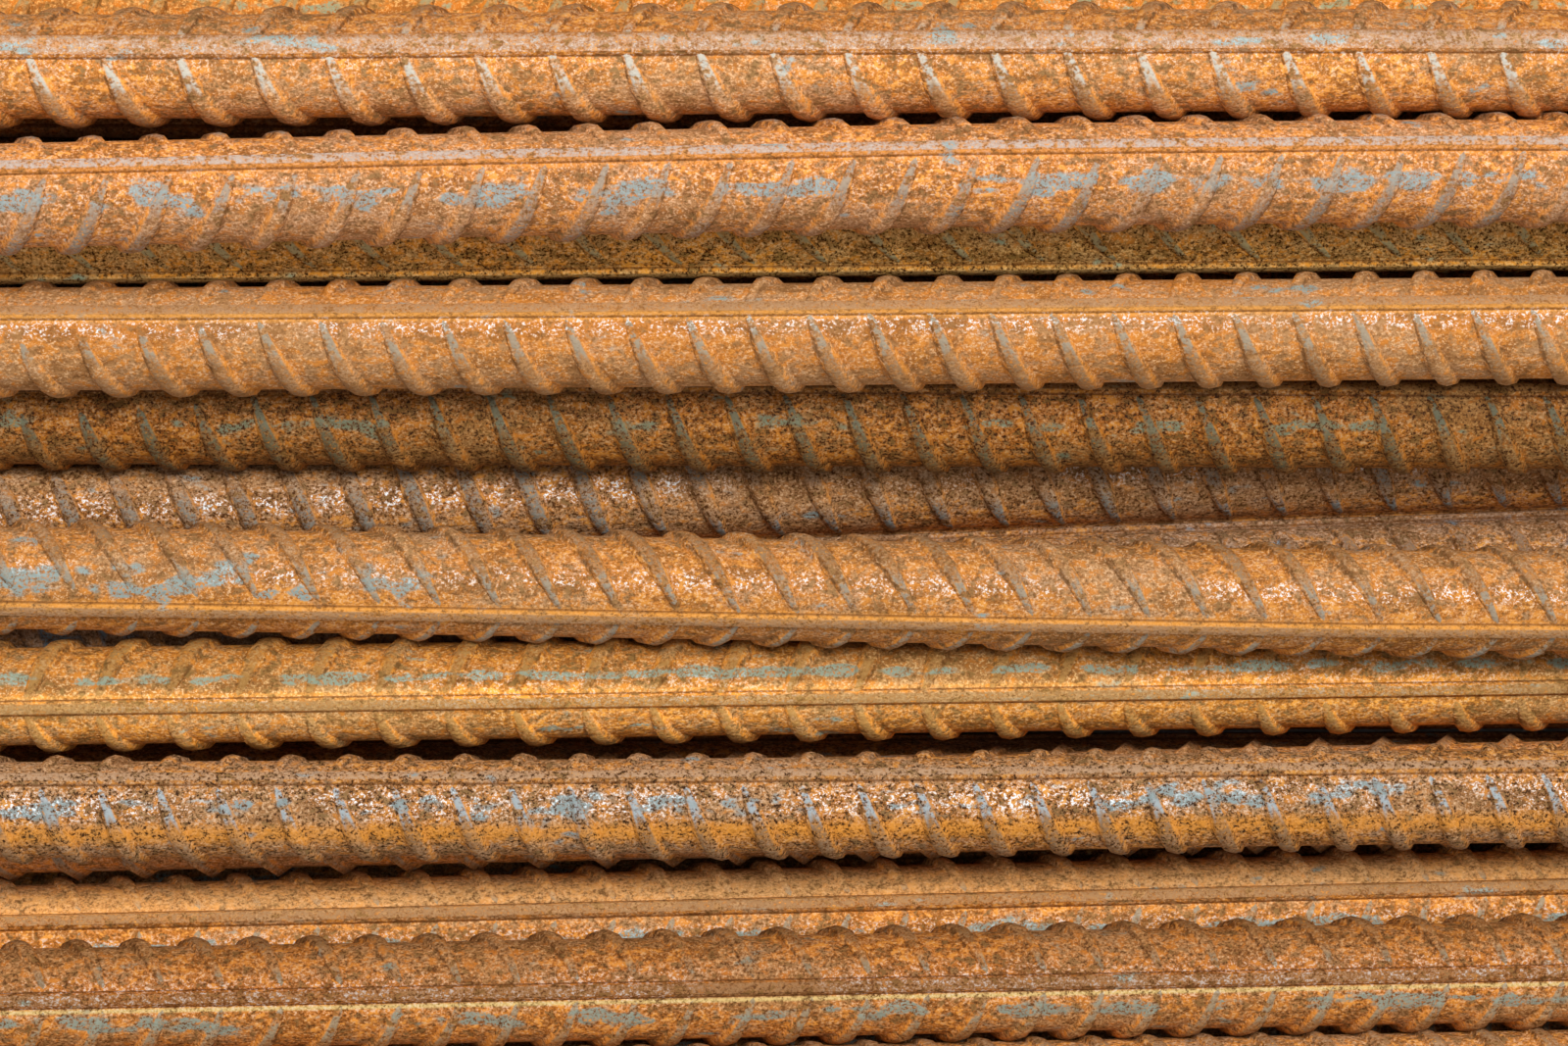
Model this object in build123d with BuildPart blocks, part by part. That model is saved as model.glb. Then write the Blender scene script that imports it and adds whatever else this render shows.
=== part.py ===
from build123d import *
import math
import os

os.makedirs("parts", exist_ok=True)

# Ribbed reinforcing bars, tied in a bundle that lies level on its wire ties.
# Bars run along X, the bundle rests at Z = 0. The ribs of the bars are surface relief
# and are left to the visual; here each bar is the round steel of its nominal size.
bar_diameter = 16.0
bar_length = 3000.0
bend_radius = 900.0
wire_diameter = 5.5
seat_gap = 0.9
row_play = 0.1
wire_gap = 0.3
tail_length = 48.0
twist_pitch = 30.0
tail_tilt = 30.0
end_slip = 6.0

bar_radius = bar_diameter / 2
wire_radius = wire_diameter / 2
contact = bar_diameter + seat_gap
row_pitch = contact + row_play
wire_reach = bar_radius + wire_gap + wire_radius
base_height = wire_reach + wire_radius

# Places along the bars where the course of each is given, as parts of the length
stations = (-0.5, -1 / 3, -1 / 6, -0.04, 0.0, 0.04, 1 / 6, 1 / 3, 0.5)
tie_places = (-0.42, -0.2, 0.2, 0.42)

# The bottom row lies side by side
bottom_row = []
for step in range(14):
    bottom_row.append([step - 6.5] * 7)

# Courses across the bundle, counted in row pitches from the middle, one number a station
# but for those at a third of the length, which lie midway between their neighbours.
# Second row: five bars in the furrows of the bottom row, six that change furrow half way.
second_row = [
    [6.0] * 7,
    [5.0] * 7,
    [4.0] * 7,
    [3.0] * 7,
    [2.0] * 7,
    [0.0, 0.0, 0.066, 0.34, 0.612, 1.0, 1.0],
    [-1.0, -1.0, -0.934, -0.66, -0.388, 0.0, 0.0],
    [-3.0, -2.92, -2.73, -2.61, -2.49, -2.1, -2.0],
    [-4.0, -3.92, -3.76, -3.63, -3.504, -3.1, -3.0],
    [-5.0, -4.92, -4.76, -4.63, -4.504, -4.1, -4.0],
    [-6.0, -5.92, -5.76, -5.63, -5.504, -5.1, -5.0],
]
third_row = [
    [1.0, 1.0, 0.99, 0.97, 0.955, 0.75, 0.5],
    [-2.0, -1.85, -1.553, -1.485, -1.43, -1.1, -1.0],
    [5.5] * 7,
    [4.5] * 7,
    [2.5, 2.52, 2.594, 2.688, 2.788, 2.6, 2.5],
    [-0.5, -0.5, -0.473, -0.602, -0.739, -0.62, -0.5],
    [1.5, 1.56, 1.626, 1.674, 1.769, 1.65, 1.5],
    [-2.5, -2.53, -2.55, -2.547, -2.475, -2.48, -2.5],
    [-4.5, -4.4, -4.259, -4.174, -4.088, -3.85, -3.5],
    [-5.5, -5.42, -5.255, -5.17, -5.083, -4.87, -4.5],
]
top_row = [
    [3.0, 2.9, 2.84, 3.06, 3.165, 3.2, 3.5],
    [4.0, 4.0, 3.98, 4.087, 4.16, 4.1, 4.0],
]

# Each bar is let down on those already laid, at every station
laid = []


def lay(courses, level):
    for course in courses:
        points = []
        near = (course[0] + course[1]) / 2
        far = (course[-2] + course[-1]) / 2
        full = [course[0], near, *course[1:-1], far, course[-1]]
        for place, across in enumerate(full):
            y = across * row_pitch
            z = level
            for other in laid:
                aside = y - other[place][1]
                if abs(aside) < contact:
                    z = max(z, other[place][2] + math.sqrt(contact**2 - aside**2))
            points.append((stations[place] * bar_length, y, z))
        laid.append(points)


lay(bottom_row, base_height)
lay(second_row, base_height)
lay(third_row, base_height)
lay(top_row, base_height)


def in_line(before, here, after):
    first = Vector(*here) - Vector(*before)
    second = Vector(*after) - Vector(*here)
    return first.get_angle(second) < 0.02


def bar_route(number):
    """Course of one bar, slipped a little lengthwise against its neighbours."""
    points = laid[number]
    slip = ((number * 7) % 11 - 5) * end_slip
    kept = [points[0]]
    for place in range(1, len(points) - 1):
        if not in_line(kept[-1], points[place], points[place + 1]):
            kept.append(points[place])
    kept.append(points[-1])
    lead = (Vector(*kept[1]) - Vector(*kept[0])).normalized()
    tail = (Vector(*kept[-1]) - Vector(*kept[-2])).normalized()
    kept[0] = tuple(Vector(*kept[0]) + lead * slip)
    kept[-1] = tuple(Vector(*kept[-1]) + tail * slip)
    return kept


def add_bars(first, count):
    """Round bars numbered from first, in the part being built."""
    for number in range(first, first + count):
        route = bar_route(number)
        heading = Vector(*route[1]) - Vector(*route[0])
        with BuildLine() as course:
            if len(route) == 2:
                Line(*route)
            else:
                FilletPolyline(*route, radius=bend_radius)
        with BuildSketch(Plane(origin=route[0], x_dir=(0, 1, 0), z_dir=heading)) as section:
            Circle(bar_radius)
        sweep(sections=section.sketch, path=course.wires()[0])


with BuildPart() as bars_row_1:
    add_bars(0, len(bottom_row))
bars_row_1.part.label = "bars_row_1"
export_step(bars_row_1.part, "parts/bars_row_1.step")

with BuildPart() as bars_row_2:
    add_bars(len(bottom_row), len(second_row))
bars_row_2.part.label = "bars_row_2"
export_step(bars_row_2.part, "parts/bars_row_2.step")

with BuildPart() as bars_row_3:
    add_bars(len(bottom_row) + len(second_row), len(third_row))
bars_row_3.part.label = "bars_row_3"
export_step(bars_row_3.part, "parts/bars_row_3.step")

with BuildPart() as bars_top:
    add_bars(len(laid) - len(top_row), len(top_row))
bars_top.part.label = "bars_top"
export_step(bars_top.part, "parts/bars_top.step")


def centres_at(x):
    """Middles of all bars where a tie goes round them."""
    found = []
    for points in laid:
        for one, two in zip(points, points[1:]):
            if one[0] <= x <= two[0]:
                part = (x - one[0]) / (two[0] - one[0])
                y = one[1] + part * (two[1] - one[1])
                z = one[2] + part * (two[2] - one[2])
                found.append((y, z))
                break
    return found


def outer_ring(points):
    """Convex ring round the points, in turn from the lowest on the left."""
    points = sorted(set(points))
    rings = []
    for ordered in (points, points[::-1]):
        side = []
        for point in ordered:
            while len(side) > 1:
                (ay, az), (by, bz) = side[-2], side[-1]
                turn = (by - ay) * (point[1] - az) - (bz - az) * (point[0] - ay)
                if turn > row_play * contact:
                    break
                side.pop()
            side.append(point)
        rings += side[:-1]
    return rings


def tie_corners(x):
    """Corners of the taut loop, a wire's reach outside the ring of bars."""
    ring = outer_ring(centres_at(x))
    edges = []
    for one, two in zip(ring, ring[1:] + ring[:1]):
        run = (two[0] - one[0], two[1] - one[1])
        size = math.hypot(*run)
        out = (run[1] / size, -run[0] / size)
        start = (one[0] + out[0] * wire_reach, one[1] + out[1] * wire_reach)
        edges.append((start, (run[0] / size, run[1] / size)))
    corners = []
    for (here, way), (there, turn) in zip(edges[-1:] + edges[:-1], edges):
        cross = way[0] * turn[1] - way[1] * turn[0]
        gone = ((there[0] - here[0]) * turn[1] - (there[1] - here[1]) * turn[0]) / cross
        corners.append((x, here[0] + way[0] * gone, here[1] + way[1] * gone))
    return corners


def add_strand(root, side, way):
    """One wire end, wound round the other away from the loop."""
    lie = Plane(origin=root, x_dir=side, z_dir=way)
    strand = lie.from_local_coords(Edge.make_helix(twist_pitch, tail_length, wire_radius + wire_gap / 2))
    with BuildSketch(Plane(origin=strand @ 0, z_dir=strand % 0)) as section:
        Circle(wire_radius)
    sweep(sections=section.sketch, path=strand, is_frenet=True)


def add_tie(x, heading):
    """One loop of wire rod round the bundle, its two ends twisted together over the top."""
    corners = tie_corners(x)
    with BuildLine() as loop:
        FilletPolyline(*corners, radius=wire_reach, close=True)
    low = loop.wires()[0].edges().sort_by(Axis.Z)[0]
    with BuildSketch(Plane(origin=low @ 0.5, z_dir=low % 0.5)) as section:
        Circle(wire_radius)
    sweep(sections=section.sketch, path=loop.wires()[0])
    runs = loop.wires()[0].edges().sort_by(SortBy.LENGTH)
    top_run = [run for run in runs if run.center().Z > base_height + contact][-1]
    side = (top_run % 0.5).normalized()
    out = Vector(1, 0, 0).cross(side)
    if out.Z < 0:
        out = out * -1
    tilt = math.radians(tail_tilt)
    way = Vector(heading * math.cos(tilt), 0, 0) + out * math.sin(tilt)
    root = top_run @ 0.5 - way * wire_gap
    add_strand(root, side, way)
    add_strand(root, side * -1, way)


for index, place in enumerate(tie_places):
    with BuildPart() as tie_wire:
        add_tie(place * bar_length, (-1) ** index)
    tie_wire.part.label = f"tie_wire_{index + 1}"
    export_step(tie_wire.part, f"parts/tie_wire_{index + 1}.step")
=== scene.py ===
import bpy
import math
import random
import numpy as np
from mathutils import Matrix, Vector


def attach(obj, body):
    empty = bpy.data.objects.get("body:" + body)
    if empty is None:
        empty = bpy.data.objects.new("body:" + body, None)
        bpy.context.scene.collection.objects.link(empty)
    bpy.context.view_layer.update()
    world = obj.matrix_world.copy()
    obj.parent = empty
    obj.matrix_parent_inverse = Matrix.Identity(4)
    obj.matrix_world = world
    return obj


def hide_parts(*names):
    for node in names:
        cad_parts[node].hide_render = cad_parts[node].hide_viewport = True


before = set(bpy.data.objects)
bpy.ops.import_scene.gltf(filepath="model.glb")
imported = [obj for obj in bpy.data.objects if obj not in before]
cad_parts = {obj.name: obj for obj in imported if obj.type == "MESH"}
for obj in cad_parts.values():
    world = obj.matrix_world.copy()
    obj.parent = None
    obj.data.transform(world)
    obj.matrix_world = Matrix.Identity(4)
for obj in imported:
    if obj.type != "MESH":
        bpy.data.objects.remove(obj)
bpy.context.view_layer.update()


# Ribbed bar
# Hot-rolled round steel. The rolls leave two ribs along it and crescent ribs across it, which
# lean one way on each half. The spacing and the lean of the ribs differ from bar to bar.

# Bars run along X and lie on their wire ties at Z = 0. Sizes here are in millimetres and
# are turned into metres where a mesh is made.
MM = 0.001
bar_diameter = 16.0
bar_length = 3000.0
core_radius = 7.75
rail_radius = 8.8
rib_radius = 9.15

# Cuts along a bar let it bend on its course. An edge sharper than the crease stays sharp.
course_cuts = 40
crease = math.radians(28)

# Width of a cross rib at the long ribs, as a part of its width half way between them, and
# the part of its lean that it loses there
tip_share = 0.36
lean_loss = 0.25


def pick(test, kind="FACE"):
    """In edit mode, selects the faces, edges or points that pass the test."""
    obj = bpy.context.object
    bpy.ops.mesh.select_mode(type=kind)
    bpy.ops.mesh.select_all(action="DESELECT")
    bpy.ops.object.mode_set(mode="OBJECT")
    mesh = obj.data
    items = {"FACE": mesh.polygons, "EDGE": mesh.edges, "VERT": mesh.vertices}[kind]
    for item in items:
        item.select = test(item)
    bpy.ops.object.mode_set(mode="EDIT")


def open_tube(name, sides, length, ends):
    """A round tube along X with radius 1, in edit mode."""
    bpy.ops.object.select_all(action="DESELECT")
    bpy.ops.mesh.primitive_cylinder_add(
        vertices=sides, radius=1, depth=length, end_fill_type=ends, rotation=(0, math.pi / 2, 0))
    obj = bpy.context.object
    obj.name = name
    bpy.ops.object.transform_apply(location=False, rotation=True, scale=True)
    bpy.ops.object.mode_set(mode="EDIT")
    return obj


def lengthwise(mesh):
    """Test for edges that run along X."""
    def test(edge):
        one, two = (mesh.vertices[i].co for i in edge.vertices)
        return abs(one.x - two.x) > 0.9 * (one - two).length
    return test


def make_core(name, sides, rail_faces, rail_taper):
    """Bar without its cross ribs, long ribs at the top and the bottom, each raised from
    some faces of the core and narrowed to its flat top."""
    obj = open_tube(name, sides, bar_length, "NGON")
    bpy.ops.mesh.select_all(action="SELECT")
    bpy.ops.transform.resize(value=(1, core_radius, core_radius))
    half = rail_faces / sides * math.pi
    for way in (1, -1):
        pick(lambda face: face.normal.z * way > math.cos(half) and abs(face.normal.x) < 0.5)
        lift = (rail_radius - core_radius) * way
        bpy.ops.mesh.extrude_region_move(TRANSFORM_OT_translate={"value": (0, 0, lift)})
        bpy.ops.transform.resize(value=(1, rail_taper, 1))
    pick(lengthwise(obj.data), "EDGE")
    bpy.ops.mesh.subdivide(number_cuts=course_cuts)
    bpy.ops.object.mode_set(mode="OBJECT")
    bpy.ops.object.shade_smooth_by_angle(angle=crease)
    return obj


def read_places(mesh):
    """The places of all points of a mesh, one row a point."""
    places = np.zeros(len(mesh.vertices) * 3)
    mesh.vertices.foreach_get("co", places)
    return places.reshape(-1, 3)


def keep_note(mesh, name, values):
    """Keeps a number for each point of the mesh, for the material to read."""
    note = mesh.attributes.get(name) or mesh.attributes.new(name, "FLOAT", "POINT")
    note.data.foreach_set("value", values)


def make_rib(sides, profile, base, lean, foot):
    """One crescent rib right round the core: a ring that is low and narrow at the long ribs,
    rises and widens half way between them, and leans over along the bar. The profile gives
    its height over the core across its width. foot is its height at the long ribs, below 0
    where it runs out before them."""
    obj = open_tube("rib", sides, base, "NOTHING")
    pick(lengthwise(obj.data), "EDGE")
    bpy.ops.mesh.subdivide(number_cuts=len(profile) - 2)
    step = base / (len(profile) - 1)
    for place, height in enumerate(profile):
        x = -base / 2 + place * step
        pick(lambda vertex: abs(vertex.co.x - x) < step / 4, "VERT")
        ring_radius = core_radius + height * (rib_radius - core_radius)
        bpy.ops.transform.resize(value=(1, ring_radius, ring_radius))
    bpy.ops.object.mode_set(mode="OBJECT")
    keep_note(obj.data, "across", read_places(obj.data)[:, 0] / base * 2)
    bpy.ops.object.mode_set(mode="EDIT")
    low = (core_radius + foot * (rib_radius - core_radius)) / rib_radius
    close = 0.5 / sides
    for turn in range(sides // 4 + 1):
        angle = turn / sides * math.tau
        pick(lambda vertex: abs(math.atan2(abs(vertex.co.y), abs(vertex.co.z)) - angle) < close, "VERT")
        narrow = tip_share + (1 - tip_share) * math.sin(angle)
        swell = low + (1 - low) * math.sin(angle)
        bpy.ops.transform.resize(value=(narrow, swell, swell), center_override=(0, 0, 0))
    bpy.ops.object.mode_set(mode="OBJECT")
    places = read_places(obj.data)
    turned = np.arctan2(np.abs(places[:, 1]), places[:, 2])
    forward = lean_loss * np.cos(turned) + (1 - lean_loss) * (math.pi / 2 - turned)
    places[:, 0] += core_radius * math.tan(lean) * forward
    obj.data.vertices.foreach_set("co", places.ravel())
    bpy.ops.object.shade_smooth()
    return obj


fine_core = make_core("fine_core", sides=72, rail_faces=4, rail_taper=0.55)
wide_core = make_core("wide_core", sides=72, rail_faces=6, rail_taper=0.74)
plain_core = make_core("plain_core", sides=20, rail_faces=2, rail_taper=0.6)


# Courses of the bars
# The bars lie loose in four rows, each let down on those already laid, as in the part's
# source: places along the bars are parts of the length, places across count row pitches.
contact = bar_diameter + 0.9
row_pitch = contact + 0.1
wire_radius = 5.5 / 2
wire_reach = bar_diameter / 2 + 0.3 + wire_radius
base_height = wire_reach + wire_radius
end_slip = 6.0
stations = (-0.5, -1 / 3, -1 / 6, -0.04, 0.0, 0.04, 1 / 6, 1 / 3, 0.5)

courses = [[step - 6.5] * 7 for step in range(14)]
courses += [
    [6.0] * 7,
    [5.0] * 7,
    [4.0] * 7,
    [3.0] * 7,
    [2.0] * 7,
    [0.0, 0.0, 0.066, 0.34, 0.612, 1.0, 1.0],
    [-1.0, -1.0, -0.934, -0.66, -0.388, 0.0, 0.0],
    [-3.0, -2.92, -2.73, -2.61, -2.49, -2.1, -2.0],
    [-4.0, -3.92, -3.76, -3.63, -3.504, -3.1, -3.0],
    [-5.0, -4.92, -4.76, -4.63, -4.504, -4.1, -4.0],
    [-6.0, -5.92, -5.76, -5.63, -5.504, -5.1, -5.0],
    [1.0, 1.0, 0.99, 0.97, 0.955, 0.75, 0.5],
    [-2.0, -1.85, -1.553, -1.485, -1.43, -1.1, -1.0],
    [5.5] * 7,
    [4.5] * 7,
    [2.5, 2.52, 2.594, 2.688, 2.788, 2.6, 2.5],
    [-0.5, -0.5, -0.473, -0.602, -0.739, -0.62, -0.5],
    [1.5, 1.56, 1.626, 1.674, 1.769, 1.65, 1.5],
    [-2.5, -2.53, -2.55, -2.547, -2.475, -2.48, -2.5],
    [-4.5, -4.4, -4.259, -4.174, -4.088, -3.85, -3.5],
    [-5.5, -5.42, -5.255, -5.17, -5.083, -4.87, -4.5],
    [3.0, 2.9, 2.84, 3.06, 3.165, 3.2, 3.5],
    [4.0, 4.0, 3.98, 4.087, 4.16, 4.1, 4.0],
]
laid = []
for course in courses:
    points = []
    near = (course[0] + course[1]) / 2
    far = (course[-2] + course[-1]) / 2
    for place, across in enumerate([course[0], near, *course[1:-1], far, course[-1]]):
        y = across * row_pitch
        z = base_height
        for other in laid:
            aside = y - other[place][1]
            if abs(aside) < contact:
                z = max(z, other[place][2] + math.sqrt(contact**2 - aside**2))
        points.append((stations[place] * bar_length, y, z))
    laid.append(points)

# A bar runs on past its outer stations by the overrun, and its bends are eased over 20 mm on
# both sides.
overrun = 60
eases = np.linspace(-20, 20, 9)


def course_at(points, x):
    """Places across and up of a bar at each x."""
    table = np.array(points)
    for end, inner in ((0, 1), (-1, -2)):
        run = (table[end] - table[inner]) / abs(table[end][0] - table[inner][0])
        table[end] = table[end] + run * overrun
    y = np.zeros_like(x)
    z = np.zeros_like(x)
    for ease in eases:
        y += np.interp(x + ease, table[:, 0], table[:, 1])
        z += np.interp(x + ease, table[:, 0], table[:, 2])
    return y / len(eases), z / len(eases)


def copy_of(master, name):
    """A copy with a mesh of its own, selected alone."""
    bpy.ops.object.select_all(action="DESELECT")
    obj = master.copy()
    obj.data = master.data.copy()
    obj.name = name
    bpy.context.collection.objects.link(obj)
    obj.select_set(True)
    bpy.context.view_layer.objects.active = obj
    return obj


def repeat(obj, count, pitch):
    """Repeats the active object along X in its own mesh."""
    array = obj.modifiers.new("row", "ARRAY")
    array.use_relative_offset = False
    array.use_constant_offset = True
    array.constant_offset_displace = (pitch, 0, 0)
    array.count = count
    bpy.ops.object.modifier_apply(modifier="row")


def note_relief(obj, cross, closing):
    """Keeps where each point is on the ribs: relief is its height over the core, crown is 1
    on the middle of a cross rib, rail 1 on a long rib, and uphill runs from -1 to 1 across
    a rib, with 1 on the side that faces +Y where the bar lies with its long rib on top."""
    places = read_places(obj.data)
    height = (np.hypot(places[:, 1], places[:, 2]) - core_radius) / (rib_radius - core_radius)
    across = np.zeros(len(places))
    if cross:
        obj.data.attributes["across"].data.foreach_get("value", across)
        uphill = across * np.sign(places[:, 1]) * closing
    else:
        uphill = np.sign(places[:, 1]) * (height > 0.3)
    keep_note(obj.data, "relief", np.clip(height, 0, 1) * cross)
    keep_note(obj.data, "crown", (1 - np.abs(across)) * cross)
    keep_note(obj.data, "rail", np.clip(height * 1.35, 0, 1) * (not cross))
    keep_note(obj.data, "uphill", uphill)


def note_side(obj):
    """Keeps how far round the bar each point is: 1 towards +Y, 0 on top, -1 towards -Y."""
    places = read_places(obj.data)
    keep_note(obj.data, "side", places[:, 1] / core_radius)


# Cross ribs, with their sides and their profile: fine ones within the fine reach of the
# middle, plain ones elsewhere. The foot of a rib takes a share of the rib spacing, the pitch.
# Ribs start and stop some parts of a pitch short of the ends of a bar.
fine_rib = (20, [-0.5, 0.8, 1.0, 0.8, -0.5])
plain_rib = (12, [-0.35, 1.0, -0.35])
fine_reach = 150.0
rib_share = 0.54
first_gap = 0.8
both_gaps = 1.5
end_ribs = 14


def make_bar(number, core, foot, girth, roll, pitch, lean, closing, sight, material):
    """One bar laid on its course. closing is 1 where the cross ribs of both halves meet
    pointing to +X at the long rib on top, and -1 where they point to -X. sight is near for
    fine ribs at the middle, far for plainer ones all along, and ends for some at the ends.
    girth is its thickness, 1 for the nominal size: rolled bars differ a little."""
    bar = copy_of(core, f"bar_{number + 1:02d}")
    slip = ((number * 7) % 11 - 5) * end_slip
    first = -bar_length / 2 + pitch * first_gap
    total = int((bar_length - pitch * both_gaps) / pitch)
    if sight == "near":
        start = int((-fine_reach - slip - first) / pitch)
        count = int(2 * fine_reach / pitch)
        rest = total - start - count
        stretches = [(plain_rib, 0, start), (fine_rib, start, count), (plain_rib, start + count, rest)]
    elif sight == "far":
        stretches = [(plain_rib, 0, total)]
    else:
        stretches = [(plain_rib, 0, end_ribs), (plain_rib, total - end_ribs, end_ribs)]
    parts = []
    for (sides, profile), start, count in stretches:
        rib = make_rib(sides, profile, pitch * rib_share, lean, foot)
        rib.rotation_euler = (0 if closing > 0 else math.pi, 0, 0)
        bpy.ops.object.transform_apply(location=False, rotation=True, scale=False)
        repeat(rib, count, pitch)
        rib.location = (first + start * pitch, 0, 0)
        bpy.ops.object.transform_apply(location=True, rotation=False, scale=False)
        parts.append(rib)
    for obj in [bar, *parts]:
        note_relief(obj, obj is not bar, closing)
        obj.select_set(True)
    bpy.context.view_layer.objects.active = bar
    bpy.ops.object.join()
    bar.rotation_euler = (-roll, 0, 0)
    bar.scale = (1, girth, girth)
    bpy.ops.object.transform_apply(location=False, rotation=True, scale=True)
    note_side(bar)
    places = read_places(bar.data)
    places[:, 0] += slip
    y, z = course_at(laid[number], places[:, 0])
    places[:, 1] += y
    places[:, 2] += z
    bar.data.vertices.foreach_set("co", (places * MM).ravel())
    bar.data.update()
    bar.data.materials.append(material)
    bar.data.materials.append(cut_end)
    bpy.ops.object.mode_set(mode="EDIT")
    pick(lambda face: abs(face.center.x) > 0.4 * bar_length * MM and abs(face.normal.x) > 0.97)
    bar.active_material_index = 1
    bpy.ops.object.material_slot_assign()
    bpy.ops.object.mode_set(mode="OBJECT")
    return bar


# Rusty steel
# Hot-rolled steel that has stood in the weather. To the eye it is matt orange rust in a fine
# dark and light grain, with smoother blue-grey mill scale left in patches and pale worn ribs.
# Rust and mill scale are oxides, so nothing here shines as bare metal does.
def srgb(code):
    """Linear colour of an sRGB hex value."""
    parts = [int(code[i:i + 2], 16) / 255 for i in (1, 3, 5)]
    return tuple(c / 12.92 if c <= 0.04045 else ((c + 0.055) / 1.055) ** 2.4 for c in parts) + (1,)


def tinted(code, tint):
    """Linear colour of an sRGB hex value, multiplied by a tint."""
    return tuple(c * t for c, t in zip(srgb(code), tint)) + (1,)


def add_node(tree, kind, settings=None, **links):
    """A node with settings; links name its inputs by name or by place, as in_0."""
    node = tree.nodes.new(kind)
    for key, value in (settings or {}).items():
        setattr(node, key, value)
    for key, value in links.items():
        place = int(key[3:]) if key.startswith("in_") else key.replace("_", " ")
        socket = node.inputs[place]
        if isinstance(value, bpy.types.NodeSocket):
            tree.links.new(value, socket)
        else:
            socket.default_value = value
    return node


# Patterns of the rust: stretch along the bar, features in a millimetre, detail and roughness.
# The grain is 0.5 mm, the mottle 1.4 mm, the cloud 11 mm and the patch 5 mm. Real grains of
# rust are 0.1 to 0.2 mm and too fine to show from here, so they are drawn coarser.
patterns = (
    (0.9, 2.1, 2.0, 0.85),
    (0.8, 0.7, 2.0, 0.8),
    (0.35, 0.09, 1.0, 0.5),
    (0.5, 0.2, 2.0, 0.8),
)

# Part of a band round the bar that is all covered, from its middle out, and how far the
# patches are lifted where mill scale lies thickest
band_core = 0.3
scale_lift = 0.36


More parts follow.
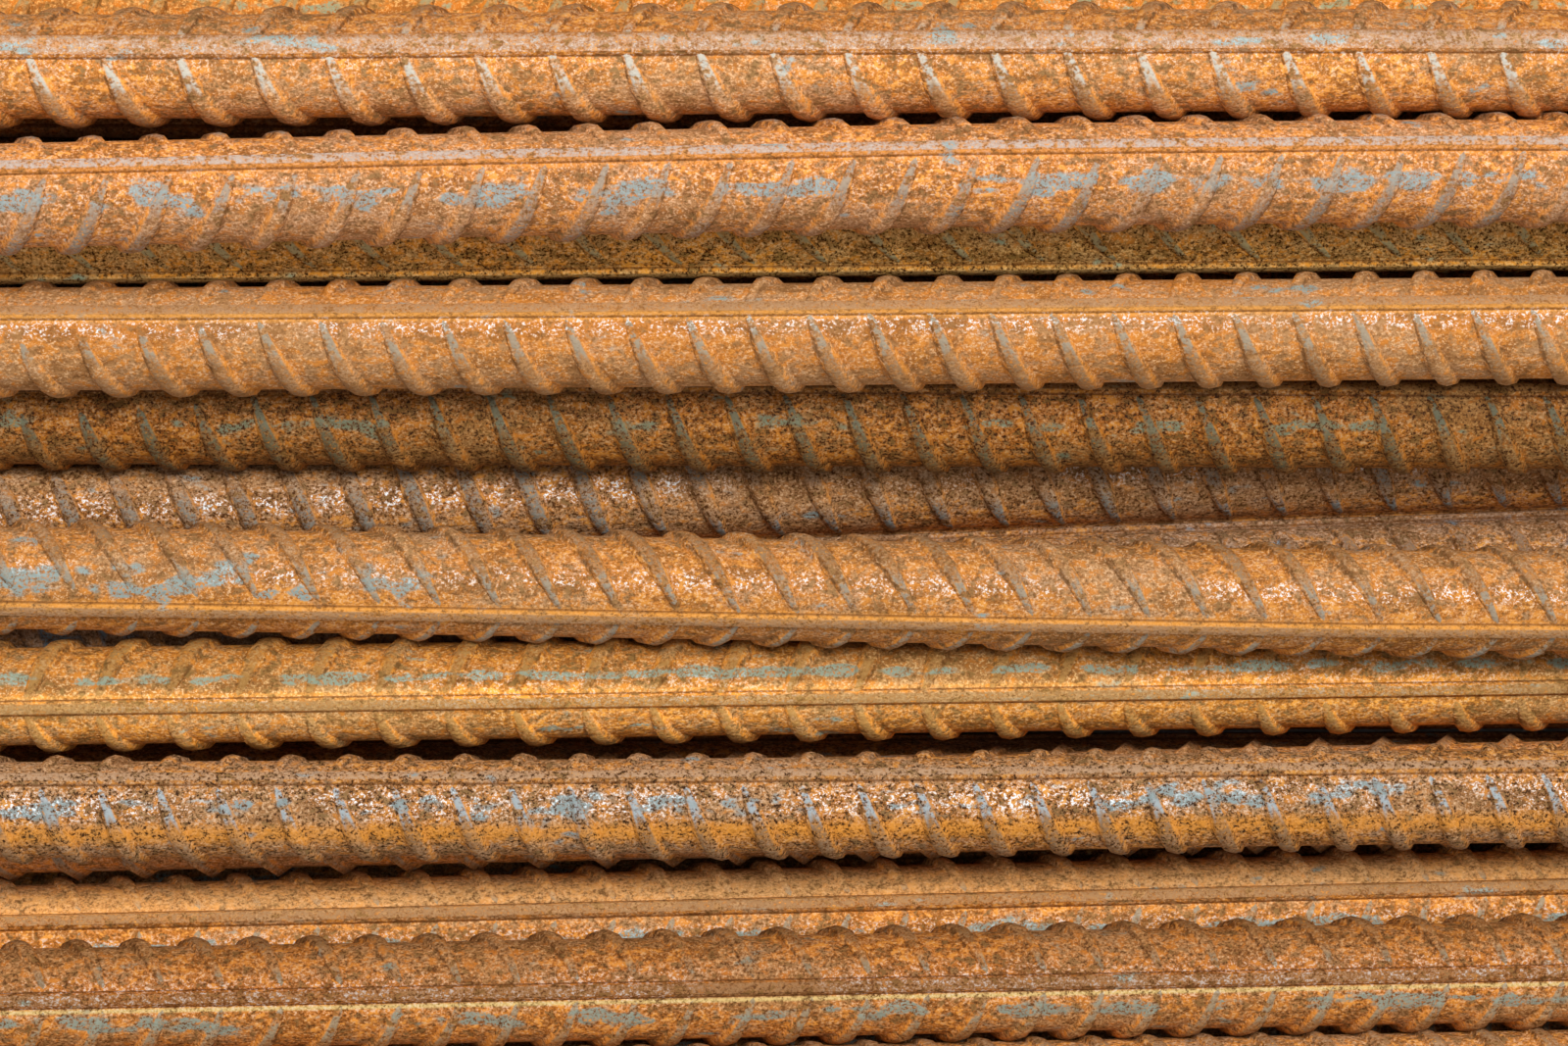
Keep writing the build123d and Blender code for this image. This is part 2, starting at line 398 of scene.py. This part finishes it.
def rust(name, shift, tint=(1.0, 1.0, 1.0), orange=0.5, speck=0.8, dirt=0.2, mottled=1.0,
         painted_glint=(0.1, 0.5, 0.3), scale=(0.0, 1.0, 0.3), left_scale=0.0,
         strip=(0.0, 0.1, 0.0, "#F2A552"), wear="#8C6E52", tips="#9C9080", rails="#A8805E",
         shade_and_dark_rust=(0.0, 0.0)):
    """Rusted steel. shift moves its pattern, and tint multiplies its colours: the rust's own tone,
    and on bars deep in the pile partly painted shade. orange is the share of orange rust;
    speck, dirt and mottled are amounts of brown grains, black ones and blotches. The arguments
    for painted glints, scale and strip each have a place round the bar, a half width and an
    amount: painted highlights of pale glints, mill scale, and a plain band beside the long rib,
    which has a colour too and on bar 22 is painted light. left_scale is an amount of scale that
    grows from nothing half way along the bar to all of it 100 mm towards -X. wear, tips and
    rails colour the cross ribs, their ends and the long ribs. The last argument has a place
    round the bar and an amount, and darkens all from there towards +Y: darker rust, and on bar
    25 painted shade under the bar above."""
    material = bpy.data.materials.new(name)
    material.use_nodes = True
    tree = material.node_tree
    tree.nodes.clear()
    spot = add_node(tree, "ShaderNodeTexCoord").outputs["Object"]
    noises = []
    for stretch, fineness, detail, roughness in patterns:
        place = add_node(tree, "ShaderNodeMapping", None, Vector=spot,
                         Location=(shift, shift * 0.7, fineness * 9),
                         Scale=(stretch / MM, 1 / MM, 1 / MM)).outputs[0]
        noises.append(add_node(tree, "ShaderNodeTexNoise", None, Vector=place, Scale=fineness,
                               Detail=detail, Roughness=roughness).outputs[0])
    grain, mottle, cloud, patch = noises
    notes = []
    for word in ("relief", "crown", "rail", "uphill", "side"):
        notes.append(add_node(tree, "ShaderNodeAttribute", {"attribute_name": word}).outputs["Fac"])
    relief, crown, rail, uphill, side = notes
    along = add_node(tree, "ShaderNodeSeparateXYZ", None, Vector=spot).outputs[0]

    # A stretch of values goes from nothing at its first value to all at its second. A band
    # round the bar is two stretches, one from each of its edges.
    bands = []
    for middle, half in (scale[:2], strip[:2], painted_glint[:2]):
        inner = half * band_core
        bands.append([(side, middle + half, middle + inner), (side, middle - half, middle - inner)])
    on_scale, on_strip, on_painted_glint = bands
    if left_scale:
        on_scale = on_scale + [(along, 0.0, -0.1)]

    # Mill scale lies where its patches, lifted in its own band, reach high enough.
    scale_there = max(scale[2], left_scale) * scale_lift
    for value, low, high in on_scale:
        scale_there = add_node(tree, "ShaderNodeMapRange", None, Value=value, From_Min=low,
                               From_Max=high, To_Max=scale_there).outputs[0]
    ground = add_node(tree, "ShaderNodeMath", None, in_0=patch, in_1=scale_there).outputs[0]

    # Each layer has a colour, an amount, and the stretches of values that it lies on.
    blotch = add_node(tree, "ShaderNodeMix", None, in_0=0.6, in_2=cloud, in_3=mottle).outputs[0]
    level = 0.5 + (0.5 - orange) * 0.25
    layers = [
        ("#CC7E34", 1.0, (blotch, level - 0.04, level + 0.04)),
        ("#8E5B2E", 0.6, (patch, 0.47, 0.4)),
        ("#8C6A40", 0.8 * mottled, (mottle, 0.44, 0.36)),
        ("#B98F70", 0.5, (patch, 0.5, 0.58), (grain, 0.42, 0.56)),
        ("#EB9F4A", mottled, (mottle, 0.53, 0.62), (cloud, 0.38, 0.6)),
        ("#EEC094", 0.75, (grain, 0.53, 0.63), (mottle, 0.4, 0.52)),
        # Painted light, broken by the mottle: brighter orange on the uphill flanks of the cross ribs, the
        # sides turned towards the light
        ("#E8943C", 0.6, (mottle, 0.38, 0.58), (uphill, 0.3, 0.5), (uphill, 0.85, 0.55)),
        # Painted shade: a dark line at the foot of the cross ribs, on the flanks turned away from the light
        ("#573010", 0.5, (mottle, 0.6, 0.45), (uphill, -0.38, -0.5), (uphill, -0.8, -0.6),
         (relief, 0.0, 0.15)),
        (strip[3], strip[2], (mottle, 0.25, 0.45), *on_strip),
        (wear, 0.85, (mottle, 0.38, 0.54), (grain, 0.36, 0.46), (crown, 0.4, 0.6),
         (cloud, 0.34, 0.52), (relief, 0.5, 0.7)),
        (tips, 0.9, (relief, 0.75, 0.6), (crown, 0.55, 0.7), (mottle, 0.42, 0.52), (side, 0.75, 0.5)),
        (rails, 0.85, (rail, 0.8, 0.95), (mottle, 0.38, 0.5), (grain, 0.34, 0.44)),
        # Painted shade: a dark line in the crease along the foot of each long rib
        ("#6E3C14", 0.7, (rail, 0.5, 0.25), (rail, 0.02, 0.12)),
        ("#929C99", 1.0, (grain, 0.38, 0.52), (ground, 0.66, 0.72), (relief, 0.75, 0.4)),
        ("#693A12", speck, (grain, 0.5, 0.4), (mottle, 0.66, 0.42)),
        ("#2E1604", dirt, (grain, 0.47, 0.39), (mottle, 0.58, 0.46)),
    ]
    body = tinted("#B98556", tint)
    for code, part, *stretches in layers:
        for value, low, high in stretches:
            part = add_node(tree, "ShaderNodeMapRange", None, Value=value, From_Min=low,
                            From_Max=high, To_Max=part).outputs[0]
        body = add_node(tree, "ShaderNodeMix", {"data_type": "RGBA"}, in_0=part, in_6=body,
                        in_7=tinted(code, tint)).outputs[2]

    # Darker towards +Y: darker rust on most bars, and painted shade under the bar above on bar 25
    part = add_node(tree, "ShaderNodeMapRange", None, Value=side, From_Min=shade_and_dark_rust[0] - 0.05,
                    From_Max=shade_and_dark_rust[0] + 0.05, To_Max=shade_and_dark_rust[1]).outputs[0]
    body = add_node(tree, "ShaderNodeMix", {"data_type": "RGBA", "blend_type": "MULTIPLY"}, in_0=part,
                    in_6=body, in_7=(0.3, 0.22, 0.12, 1)).outputs[2]

    # Painted highlight: pale glints on the grains, off the cross ribs, in a band round the bar where the
    # light would catch them
    painted_glint_stretches = [(grain, 0.53, 0.6), (mottle, 0.44, 0.54), (cloud, 0.36, 0.5), (relief, 0.35, 0.1), *on_painted_glint]
    part = painted_glint[2]
    for value, low, high in painted_glint_stretches:
        part = add_node(tree, "ShaderNodeMapRange", None, Value=value, From_Min=low, From_Max=high,
                        To_Max=part).outputs[0]
    body = add_node(tree, "ShaderNodeMix", {"data_type": "RGBA"}, in_0=part, in_6=body,
                    in_7=srgb("#DFE5E8")).outputs[2]

    rough = add_node(tree, "ShaderNodeMapRange", None, Value=ground, From_Min=0.67, From_Max=0.72,
                     To_Min=0.75, To_Max=0.5).outputs[0]
    bump = add_node(tree, "ShaderNodeBump", None, Strength=0.9, Distance=0.4 * MM, Height=mottle).outputs[0]
    shader = add_node(tree, "ShaderNodeBsdfPrincipled", None, Base_Color=body, Roughness=rough,
                      Normal=bump, Specular_IOR_Level=0.12)
    out = add_node(tree, "ShaderNodeOutputMaterial")
    tree.links.new(shader.outputs[0], out.inputs[0])
    return material


# Bars of the bundle
# Rusty ribbed steel bars of one size, sheared square at both ends and held by the wire ties.
# Those seen from above have ribs all along, the rest near their ends, where they show.

# Even brown-orange rust for the bars in the shade, and darker bare rust on a sheared end
usual = rust("rusty_steel", 0, (0.9, 0.87, 0.8))
cut_end = rust("sheared_end", 300, (0.5, 0.45, 0.42), orange=0.4, speck=0.5, painted_glint=(0.0, 1.0, 0.1))

# Bars seen from above: how far each is rolled over, the pitch and the lean of its cross ribs,
# how they close, and the look of its rust. The dark tints of bars 18, 19 and 25, which lie deep
# in the pile, are partly painted shade.
close_up = {
    28: (60, 10.0, 27, 1, {
        "tint": (1.0, 0.87, 0.5), "orange": 0.8, "speck": 0.3}),
    36: (17, 11.0, 27, -1, {
        "tint": (1.03, 1.05, 1.02), "orange": 0.6, "speck": 0.4, "scale": (0.3, 0.2, 0.3),
        "tips": "#B9B6AC", "rails": "#A98A74", "shade_and_dark_rust": (0.45, 0.5)}),
    35: (28, 9.2, 25, 1, {
        "tint": (0.92, 0.9, 0.89), "speck": 0.5, "scale": (-0.22, 0.35, 0.5), "wear": "#7E7C74",
        "rails": "#AFA298", "strip": (0.4, 0.2, 0.7, "#EE9C48"), "painted_glint": (0.0, 1.0, 0.15)}),
    31: (28, 9.15, 27, -1, {
        "tint": (0.84, 0.85, 0.79), "orange": 0.5, "speck": 0.3, "mottled": 0.3,
        "scale": (0.0, 1.0, 0.0), "strip": (0.36, 0.13, 0.9, "#F2A854"), "painted_glint": (0.15, 0.25, 0.8)}),
    29: (-64, 11.1, 45, 1, {
        "tint": (1.18, 1.3, 0.87), "orange": 0.4, "speck": 1.0, "dirt": 0.9, "scale": (0.0, 1.0, 0.0),
        "painted_glint": (0.0, 1.0, 0.1)}),
    # On bar 25 the darkening towards +Y is painted shade under bar 31, which lies above it.
    25: (33, 9.0, 24, -1, {
        "tint": (0.48, 0.43, 0.26), "orange": 0.45, "speck": 1.0, "dirt": 0.7,
        "scale": (-0.22, 0.18, 0.35), "shade_and_dark_rust": (-0.11, 0.2), "tips": "#7F8C92", "wear": "#66706E",
        "painted_glint": (0.0, 1.0, 0.05)}),
    19: (88, 8.8, 24, -1, {
        "tint": (0.72, 0.74, 0.72), "orange": 0.4, "speck": 1.0, "dirt": 0.5, "scale": (0.0, 1.0, 0.1),
        "painted_glint": (0.05, 0.35, 1.0), "wear": "#80847F", "tips": "#8A979C"}),
    20: (88, 9.0, 24, -1, {
        "tint": (0.69, 0.75, 0.88), "dirt": 0.3, "scale": (0.0, 1.0, 0.3)}),
    30: (-35, 9.0, 31, 1, {
        "tint": (0.8, 0.83, 0.8), "orange": 0.6, "speck": 0.5, "mottled": 0.7, "painted_glint": (0.16, 0.26, 0.8),
        "scale": (0.0, 0.6, 0.35), "left_scale": 0.55, "strip": (-0.52, 0.17, 0.6, "#E39A44")}),
    26: (-12, 10.5, 25, -1, {
        "tint": (1.14, 1.22, 0.99), "orange": 0.6, "speck": 0.5, "scale": (0.31, 0.17, 0.6),
        "wear": "#A07A50", "tips": "#A87C4C", "rails": "#94704E", "strip": (0.0, 0.05, 0.35, "#EFA04A"),
        "shade_and_dark_rust": (0.12, 0.48)}),
    32: (41, 8.8, 22, -1, {
        "tint": (0.7, 0.74, 0.76), "orange": 0.5, "speck": 0.9, "dirt": 0.9, "scale": (0.1, 0.4, 0.4),
        "tips": "#A9B4B8", "painted_glint": (0.12, 0.4, 0.9), "rails": "#BE9674",
        "strip": (-0.45, 0.25, 0.7, "#F09A36")}),
    # Bar 22's strip is painted light, brightening its upper side where the bar above shades it.
    22: (19, 9.1, 25, 1, {
        "tint": (1.0, 0.98, 0.84), "speck": 0.6, "scale": (-0.3, 0.25, 0.6), "rails": "#9C7858",
        "strip": (0.68, 0.38, 0.5, "#F4BC80"), "painted_glint": (-0.15, 0.2, 0.5)}),
    33: (4, 8.9, 25, 1, {
        "tint": (0.77, 0.71, 0.57), "orange": 0.5, "dirt": 0.3, "shade_and_dark_rust": (-0.05, 0.3),
        "scale": (-0.45, 0.25, 0.5), "strip": (-0.16, 0.06, 0.9, "#E6CC90")}),
    34: (-50, 8.6, 25, 1, {
        "tint": (0.84, 0.86, 0.86), "scale": (0.0, 1.0, 0.2), "painted_glint": (0.3, 0.4, 0.9)}),
    18: (70, 9.0, 25, -1, {
        "tint": (0.6, 0.6, 0.5)}),
}

# Outer bars that show their ribs all along; two bars rolled a little thin; and one bar with
# broad long ribs, on which the cross ribs run on to them. On the others they stop short.
ribbed_bars = [0, 13, 14, 21, 23, 24, 27]
girths = {26: 0.96, 32: 0.935}
broad_bar = 36
run_on = 0.12
stop_short = -0.15

row_nodes = ("bars_row_1", "bars_row_2", "bars_row_3", "bars_top")
row_starts = (14, 25, 35)
pattern_step = 37.0
rng = random.Random(5)
for number in range(len(laid)):
    roll, pitch, closing = rng.uniform(0, 180), rng.uniform(8.8, 10.6), rng.choice((1, -1))
    lean = 27
    material = usual
    core = plain_core
    foot = stop_short
    sight = "far" if number in ribbed_bars else "ends"
    if number in close_up:
        sight = "near"
        roll, pitch, lean, closing, look = close_up[number]
        material = rust(f"rusty_steel_{number + 1:02d}", number * pattern_step, **look)
        core = fine_core
    if number == broad_bar:
        core = wide_core
        foot = run_on
    bar = make_bar(number, core, foot, girths.get(number, 1), math.radians(roll), pitch,
                   math.radians(lean), closing, sight, material)
    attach(bar, "root")
    node = row_nodes[sum(number >= start for start in row_starts)]
    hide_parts(node)
for master in (fine_core, wide_core, plain_core):
    bpy.data.objects.remove(master)


# Tie wires
# Soft annealed wire rod, bent round the bars by hand and its two ends twisted together. The
# meshes are the part's own. The wire rusts to a dark brown that is more even than the bars'.
wire_rust = rust("rusty_wire", 500, (0.52, 0.44, 0.36), orange=0.3, speck=0.9, painted_glint=(0.0, 1.0, 0.2))
for index in range(4):
    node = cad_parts[f"tie_wire_{index + 1}"]
    node.data.materials.clear()
    node.data.materials.append(wire_rust)


# Floor
# A level floor under the ties, which belongs to the scene and not to the part. It is painted
# a pale matt grey, so it takes the shadow of the bundle and mirrors nothing.
bpy.ops.mesh.primitive_plane_add(size=40, location=(0, 0, 0))
floor = bpy.context.object
floor.name = "floor"
floor_paint = bpy.data.materials.new("floor_paint")
floor_paint.use_nodes = True
floor_paint.node_tree.nodes["Principled BSDF"].inputs["Base Color"].default_value = srgb("#D8D6D2")
floor_paint.node_tree.nodes["Principled BSDF"].inputs["Roughness"].default_value = 0.9
floor.data.materials.append(floor_paint)


# Light
# An overcast sky, white to the camera and in reflections and softer on the bars, with one
# broad soft source beyond the top edge of the picture.
world = bpy.data.worlds.new("studio")
bpy.context.scene.world = world
world.use_nodes = True
sky = world.node_tree
sky.nodes.clear()
rays = add_node(sky, "ShaderNodeLightPath").outputs
seen = rays["Is Camera Ray"]
for word in ("Is Glossy Ray", "Is Transmission Ray"):
    seen = add_node(sky, "ShaderNodeMath", {"operation": "MAXIMUM"}, in_0=seen, in_1=rays[word]).outputs[0]
soft = add_node(sky, "ShaderNodeBackground", None, Color=(1, 1, 1, 1), Strength=0.6).outputs[0]
white = add_node(sky, "ShaderNodeBackground", None, Color=(1, 1, 1, 1), Strength=1.0).outputs[0]
both = add_node(sky, "ShaderNodeMixShader", None, in_0=seen, in_1=soft, in_2=white).outputs[0]
sky.links.new(both, add_node(sky, "ShaderNodeOutputWorld").inputs[0])

lamp_place = Vector((0.45, 1.8, 4.5))
bpy.ops.object.light_add(type="AREA", location=lamp_place)
lamp = bpy.context.object
lamp.name = "sky_light"
lamp.data.size = 2.1
lamp.data.energy = 243
lamp.rotation_euler = (-lamp_place).to_track_quat("-Z", "Y").to_euler()


# Camera
# Straight above the bundle, as the photograph was taken, with the right side a little
# further away; 1600 pixels span 240.6 mm at the height of the third row.
frame_width = 240.6
distance = 750.0
sensor = 36.0
yaw = math.radians(4.5)
aim_height = 45.0
bpy.ops.object.camera_add()
camera = bpy.context.object
camera.data.sensor_width = sensor
camera.data.lens = sensor * distance / frame_width
camera.data.clip_start = 0.01
camera.location = Vector((-math.sin(yaw) * distance, 0, aim_height + math.cos(yaw) * distance)) * MM
camera.rotation_euler = (0, -yaw, 0)
bpy.context.scene.camera = camera
bpy.context.scene.view_settings.view_transform = "Standard"
